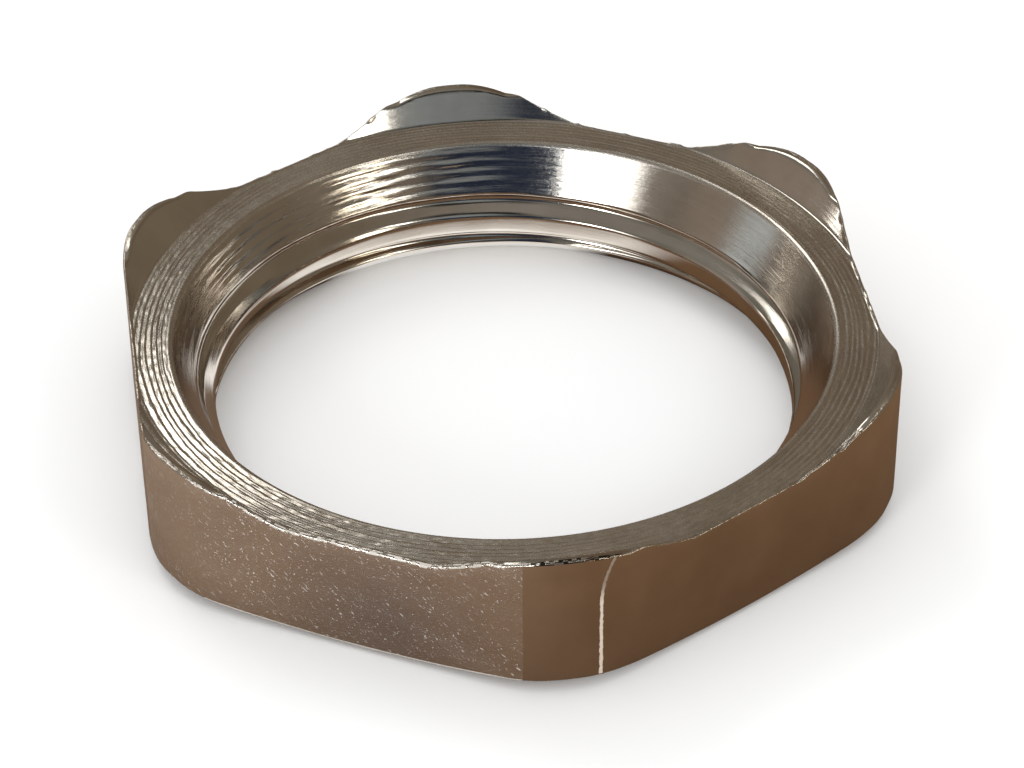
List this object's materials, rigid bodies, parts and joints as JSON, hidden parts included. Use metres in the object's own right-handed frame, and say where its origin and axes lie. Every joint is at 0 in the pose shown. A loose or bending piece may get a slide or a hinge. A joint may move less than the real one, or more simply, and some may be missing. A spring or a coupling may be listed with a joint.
{
  "type": "hexagonal locknut",
  "caption": "Thin hexagonal locknut with a female metric thread, whose raised corners bite into a panel to hold and earth a threaded fitting.",
  "frame": {"origin": "centre of the seat, the flat face that the nut rests on, on the thread axis", "axes": "+Z along the thread axis from the seat to the raised corners, +X square to one wrench flat, +Y through one corner"},
  "size_m": [0.024, 0.0264, 0.0051],
  "materials": {
    "nickel_plated_brass": "bright nickel plate over turned and drawn brass"
  },
  "bodies": {
    "root": {"locknut": "nickel_plated_brass"}
  },
  "joints": []
}
